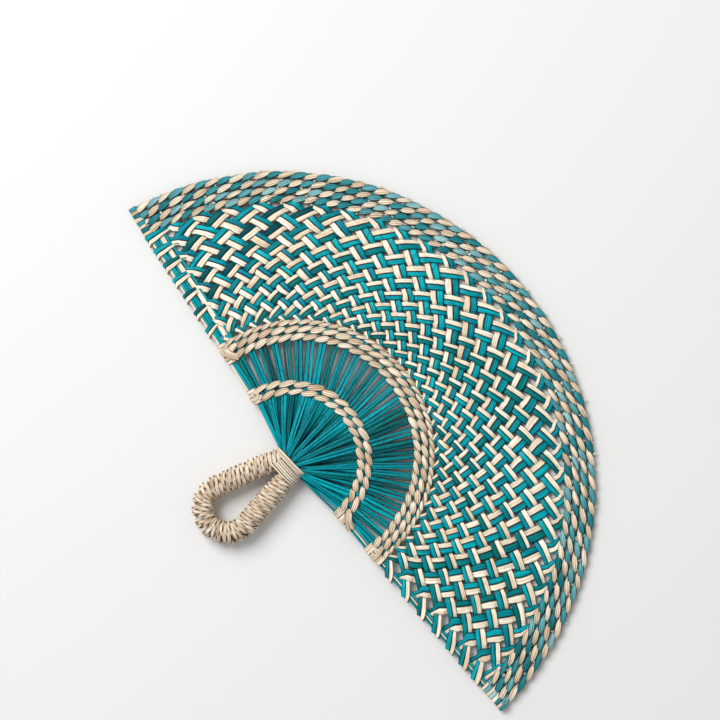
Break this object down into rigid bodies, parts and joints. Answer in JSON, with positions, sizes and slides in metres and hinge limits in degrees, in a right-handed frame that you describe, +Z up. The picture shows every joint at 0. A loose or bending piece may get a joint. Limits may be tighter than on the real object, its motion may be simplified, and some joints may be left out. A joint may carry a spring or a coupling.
{
  "type": "woven straw hand fan",
  "caption": "Half-moon hand fan woven of teal and natural seagrass straw, with stems fanning from a bound neck, twined bands, a twined border and a wound loop handle.",
  "frame": {"origin": "middle of the footprint, on the flat surface that the fan lies on", "axes": "+X along the blade's straight edge, +Y from the handle towards the round rim, +Z up out of the face of the blade"},
  "size_m": [0.3818, 0.2474, 0.0146],
  "materials": {
    "teal_straw": "dyed dry straw, satin, fine lengthwise grain",
    "natural_straw": "undyed dry straw, satin, fine lengthwise grain",
    "aqua_straw": "pale dyed dry straw, satin, fine lengthwise grain",
    "handle_cord": "twisted undyed straw cord, matt, brown in the grooves"
  },
  "bodies": {
    "root": {"handle_core": "handle_cord", "handle_wrap": "handle_cord", "neck_binding": "natural_straw", "stem_01": "teal_straw", "stem_02": "teal_straw", "stem_03": "teal_straw", "stem_04": "teal_straw", "stem_05": "teal_straw", "stem_06": "teal_straw", "stem_07": "teal_straw", "stem_08": "teal_straw", "stem_09": "teal_straw", "stem_10": "teal_straw", "stem_11": "teal_straw", "stem_12": "teal_straw", "stem_13": "teal_straw", "stem_14": "teal_straw", "stem_15": "teal_straw", "stem_16": "teal_straw", "stem_17": "teal_straw", "stem_18": "teal_straw", "stem_19": "teal_straw", "stem_20": "teal_straw", "stem_21": "teal_straw", "stem_22": "teal_straw", "stem_23": "teal_straw", "stem_24": "teal_straw", "stem_25": "teal_straw", "stem_26": "teal_straw", "stem_27": "teal_straw", "stem_28": "teal_straw", "stem_29": "teal_straw", "stem_30": "teal_straw", "edge_stem_left": "teal_straw", "edge_stem_right": "teal_straw", "ring_row_1": "natural_straw", "ring_row_2": "natural_straw", "mid_row_1": "natural_straw", "mid_row_2": "natural_straw", "mid_row_outer": "natural_straw", "border_row_1": "aqua_straw", "border_row_2": "natural_straw", "border_row_3": "aqua_straw", "border_row_4": "natural_straw"}
  },
  "joints": []
}
